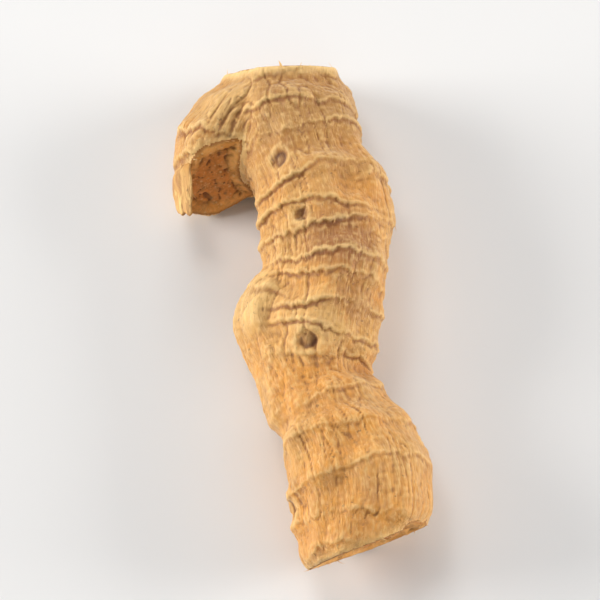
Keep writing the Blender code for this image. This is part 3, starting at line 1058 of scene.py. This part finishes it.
class GALANGAL_OT_fringe(bpy.types.Operator):
    """Add the frayed remains of leaf scales along the growth rings"""

    bl_idname = "galangal.fringe"
    bl_label = "Ring fringe"

    def execute(self, context):
        fray = context.scene.galangal_fray
        chance = random.Random(5)
        surface = SkinSurface()
        shape = bmesh.new()
        limbs = [Limb(name) for name in LIMBS]
        for limb in limbs:
            others = [other for other in limbs if other is not limb]
            for number, place in enumerate(limb.rings):
                for _ in range(fray.fringe_count):
                    angle = chance.uniform(-math.pi, math.pi)
                    along = place + float(ring_wave(angle, number)) + chance.uniform(-0.4, 0.2)
                    if not FRINGE_ENDS_MM[0] <= along <= limb.length_at[-1] - FRINGE_ENDS_MM[1]:
                        continue
                    spot = limb.point_on_skin(along, math.degrees(angle))
                    clear = min(other.locate(spot[None, :])[0][0] for other in others)
                    clump = noise.noise(Vector(spot) * 0.35)
                    if clear < FRINGE_CLEAR_MM or clump < -0.05:
                        continue
                    start, outward = surface.nearest(spot)
                    if start.z < FRINGE_CLEAR_MM * MM:
                        continue
                    forwards = Vector(limb.tangents[limb.index_at(along)])
                    forwards = (forwards - outward * forwards.dot(outward)).normalized()
                    sideways = forwards.cross(outward)
                    direction = forwards + sideways * chance.uniform(-0.35, 0.35)
                    direction += outward * chance.uniform(0.0, 0.3)
                    sag = outward * chance.uniform(-0.9, 0.1)
                    sag += sideways * chance.uniform(-0.5, 0.5)
                    size = [chance.uniform(*span) for span in FRINGE_SIZES_MM]
                    add_fibre(shape, start - outward * 0.06 * MM, direction, sag, *size)
        finish_piece("ring_fringe", shape, "Galangal fibre")
        return {"FINISHED"}


class GALANGAL_OT_fibres(bpy.types.Operator):
    """Add the loose fibres that stick out of the cut faces and their rims"""

    bl_idname = "galangal.fibres"
    bl_label = "Loose fibres"

    def execute(self, context):
        fray = context.scene.galangal_fray
        chance = random.Random(11)
        mesh = bpy.data.objects["root_skin"].data
        inward, from_cut = (
            read_rows(mesh.attributes[name].data, "value", 1)[:, 0] for name in ("inward", "from_cut")
        )
        rims = [int(i) for i in np.flatnonzero((inward > 0.1) & (inward < 0.45) & (from_cut < 0.6))]
        faces = [int(i) for i in np.flatnonzero(inward > 0.8)]
        shape = bmesh.new()
        for number in range(fray.fibre_count):
            pool = rims if number % 3 else faces
            vertex = mesh.vertices[chance.choice(pool)]
            if vertex.co.z < FIBRE_CLEAR_MM * MM:
                continue
            outward = vertex.normal
            lean = Vector([chance.uniform(-1, 1) for _ in range(3)])
            direction = outward * 0.5 + lean
            if direction.dot(outward) < 0:
                direction -= 2 * direction.dot(outward) * outward
            sag = Vector([chance.uniform(-1.2, 1.2) for _ in range(3)])
            start = vertex.co - outward * 0.08 * MM
            size = [chance.uniform(*span) for span in FIBRE_SIZES_MM]
            add_fibre(shape, start, direction, sag, *size)
        surface = SkinSurface()
        start, outward = surface.nearest(SPIKE_PLACE_MM)
        start = start - outward * 0.15 * MM
        add_fibre(shape, start, Vector(SPIKE_WAY), Vector(SPIKE_SAG), *SPIKE_SIZE_MM)
        finish_piece("loose_fibres", shape, "Galangal fibre")
        return {"FINISHED"}


class GALANGAL_OT_bark_strip(bpy.types.Operator):
    """Add the strip of torn bark that hangs on at the arm's cut"""

    bl_idname = "galangal.bark_strip"
    bl_label = "Bark strip"

    def execute(self, context):
        fray = context.scene.galangal_fray
        shape = bmesh.new()
        bmesh.ops.create_grid(shape, x_segments=10, y_segments=28, size=0.5)
        length_mm = fray.strip_length / MM
        half_turn = fray.strip_width / MM / ARM_RADIUS_MM / 2
        for vertex in shape.verts:
            across, along = 2 * vertex.co.x, 0.5 - vertex.co.y
            ragged = 1 + 0.2 * noise.noise(Vector((along * 5.0, across, 3.0)))
            opening = min(1.0, along / 0.3)
            taper = (0.7 + 0.3 * opening - 0.35 * along**3) * ragged
            turn = STRIP_TURN + half_turn * taper * across - 0.12 * along
            tooth = (0.14 * noise.noise(Vector((across * 2.6, 5.0, 0.0))) - 0.1 * across) * along**3
            rise = STRIP_RISE_MM * opening - 0.8 * along**2
            buckle = 0.16 * noise.noise(Vector((along * 4.0, across * 2.0, 9.0)))
            radius = ARM_RADIUS_MM - STRIP_SINK_MM + rise + buckle * along
            vertex.co = MM * Vector((
                ARM_MIDDLE_MM[0] + radius * math.cos(turn),
                STRIP_START_MM - length_mm * (along + tooth),
                ARM_MIDDLE_MM[1] + radius * FLATTEN * math.sin(turn),
            ))
        bmesh.ops.recalc_face_normals(shape, faces=shape.faces)
        bmesh.ops.solidify(shape, geom=shape.faces[:], thickness=fray.strip_thickness)
        axes = {f"use_axis_{axis}": True for axis in "xyz"}
        bmesh.ops.smooth_vert(shape, verts=shape.verts, factor=0.5, **axes)
        piece = finish_piece("bark_strip", shape, "Galangal torn bark")
        finer = piece.modifiers.new("finer", "SUBSURF")
        finer.levels = 1
        finer.render_levels = 1
        return {"FINISHED"}


class GALANGAL_OT_stage(bpy.types.Operator):
    """Build the floor, the lights and the camera"""

    bl_idname = "galangal.stage"
    bl_label = "Stage"

    def execute(self, context):
        stage = context.scene.galangal_stage
        build_floor(stage)
        build_lights()
        build_camera(stage)
        context.scene.view_settings.view_transform = "Standard"
        return {"FINISHED"}


def build_floor(stage):
    shape = bmesh.new()
    place = Matrix.Translation((0.0, 0.0, -FLOOR_GAP_MM * MM))
    bmesh.ops.create_grid(shape, x_segments=1, y_segments=1, size=stage.floor_size / 2, matrix=place)
    floor = object_from("floor", shape)
    material = bpy.data.materials.new("Pale floor")
    material.use_nodes = True
    shader = material.node_tree.nodes["Principled BSDF"]
    shader.inputs["Base Color"].default_value = (*stage.floor, 1.0)
    shader.inputs["Roughness"].default_value = FLOOR_ROUGHNESS
    floor.data.materials.append(material)


def build_lights():
    for name, place, size, power, tint in LIGHTS:
        light = bpy.data.lights.new(name, "AREA")
        light.shape = "SQUARE"
        light.size = size * MM
        light.energy = power
        light.color = tint
        lamp = add_object(name, light)
        lamp.location = Vector(place) * MM
        lamp.rotation_euler = (-lamp.location).to_track_quat("-Z", "Y").to_euler()
    world = bpy.data.worlds.new("soft_room")
    world.use_nodes = True
    background = world.node_tree.nodes["Background"]
    background.inputs["Color"].default_value = (1.0, 1.0, 1.0, 1.0)
    background.inputs["Strength"].default_value = ROOM_LIGHT
    bpy.context.scene.world = world


def build_camera(stage):
    low, high = CAD_BOX
    centre = (low + high) / 2
    tilt = stage.camera_elevation
    back = Vector((0.0, -math.cos(tilt), math.sin(tilt)))
    lens = bpy.data.cameras.new("camera")
    lens.lens = stage.lens
    lens.clip_start = 1 * MM
    camera = add_object("camera", lens)
    camera.location = centre + back * stage.camera_distance
    camera.rotation_euler = (-back).to_track_quat("-Z", "Y").to_euler()
    bpy.context.scene.camera = camera


class GALANGAL_PT_panel(bpy.types.Panel):
    """Sizes, colours and builders of the galangal root"""

    bl_idname = "GALANGAL_PT_panel"
    bl_label = "Dried galangal root"
    bl_space_type = "VIEW_3D"
    bl_region_type = "UI"
    bl_category = "Galangal"

    def draw(self, context):
        for group, kind in SETTINGS.items():
            box = self.layout.box()
            for name in kind.__annotations__:
                box.prop(getattr(context.scene, group), name)
        for operator in OPERATORS:
            self.layout.operator(operator.bl_idname)


OPERATORS = (
    GALANGAL_OT_root,
    GALANGAL_OT_fringe,
    GALANGAL_OT_fibres,
    GALANGAL_OT_bark_strip,
    GALANGAL_OT_stage,
)
SETTINGS = {
    "galangal_shape": GalangalShape,
    "galangal_colours": GalangalColours,
    "galangal_fray": GalangalFray,
    "galangal_stage": GalangalStage,
}
CLASSES = (*SETTINGS.values(), *OPERATORS, GALANGAL_PT_panel)


def register():
    for cls in CLASSES:
        bpy.utils.register_class(cls)
    for name, kind in SETTINGS.items():
        setattr(bpy.types.Scene, name, PointerProperty(type=kind))


def unregister():
    for name in SETTINGS:
        delattr(bpy.types.Scene, name)
    for cls in reversed(CLASSES):
        bpy.utils.unregister_class(cls)


def main():
    register()
    bpy.ops.galangal.root()
    bpy.ops.galangal.fringe()
    bpy.ops.galangal.fibres()
    bpy.ops.galangal.bark_strip()
    bpy.ops.galangal.stage()


if __name__ == "__main__":
    main()
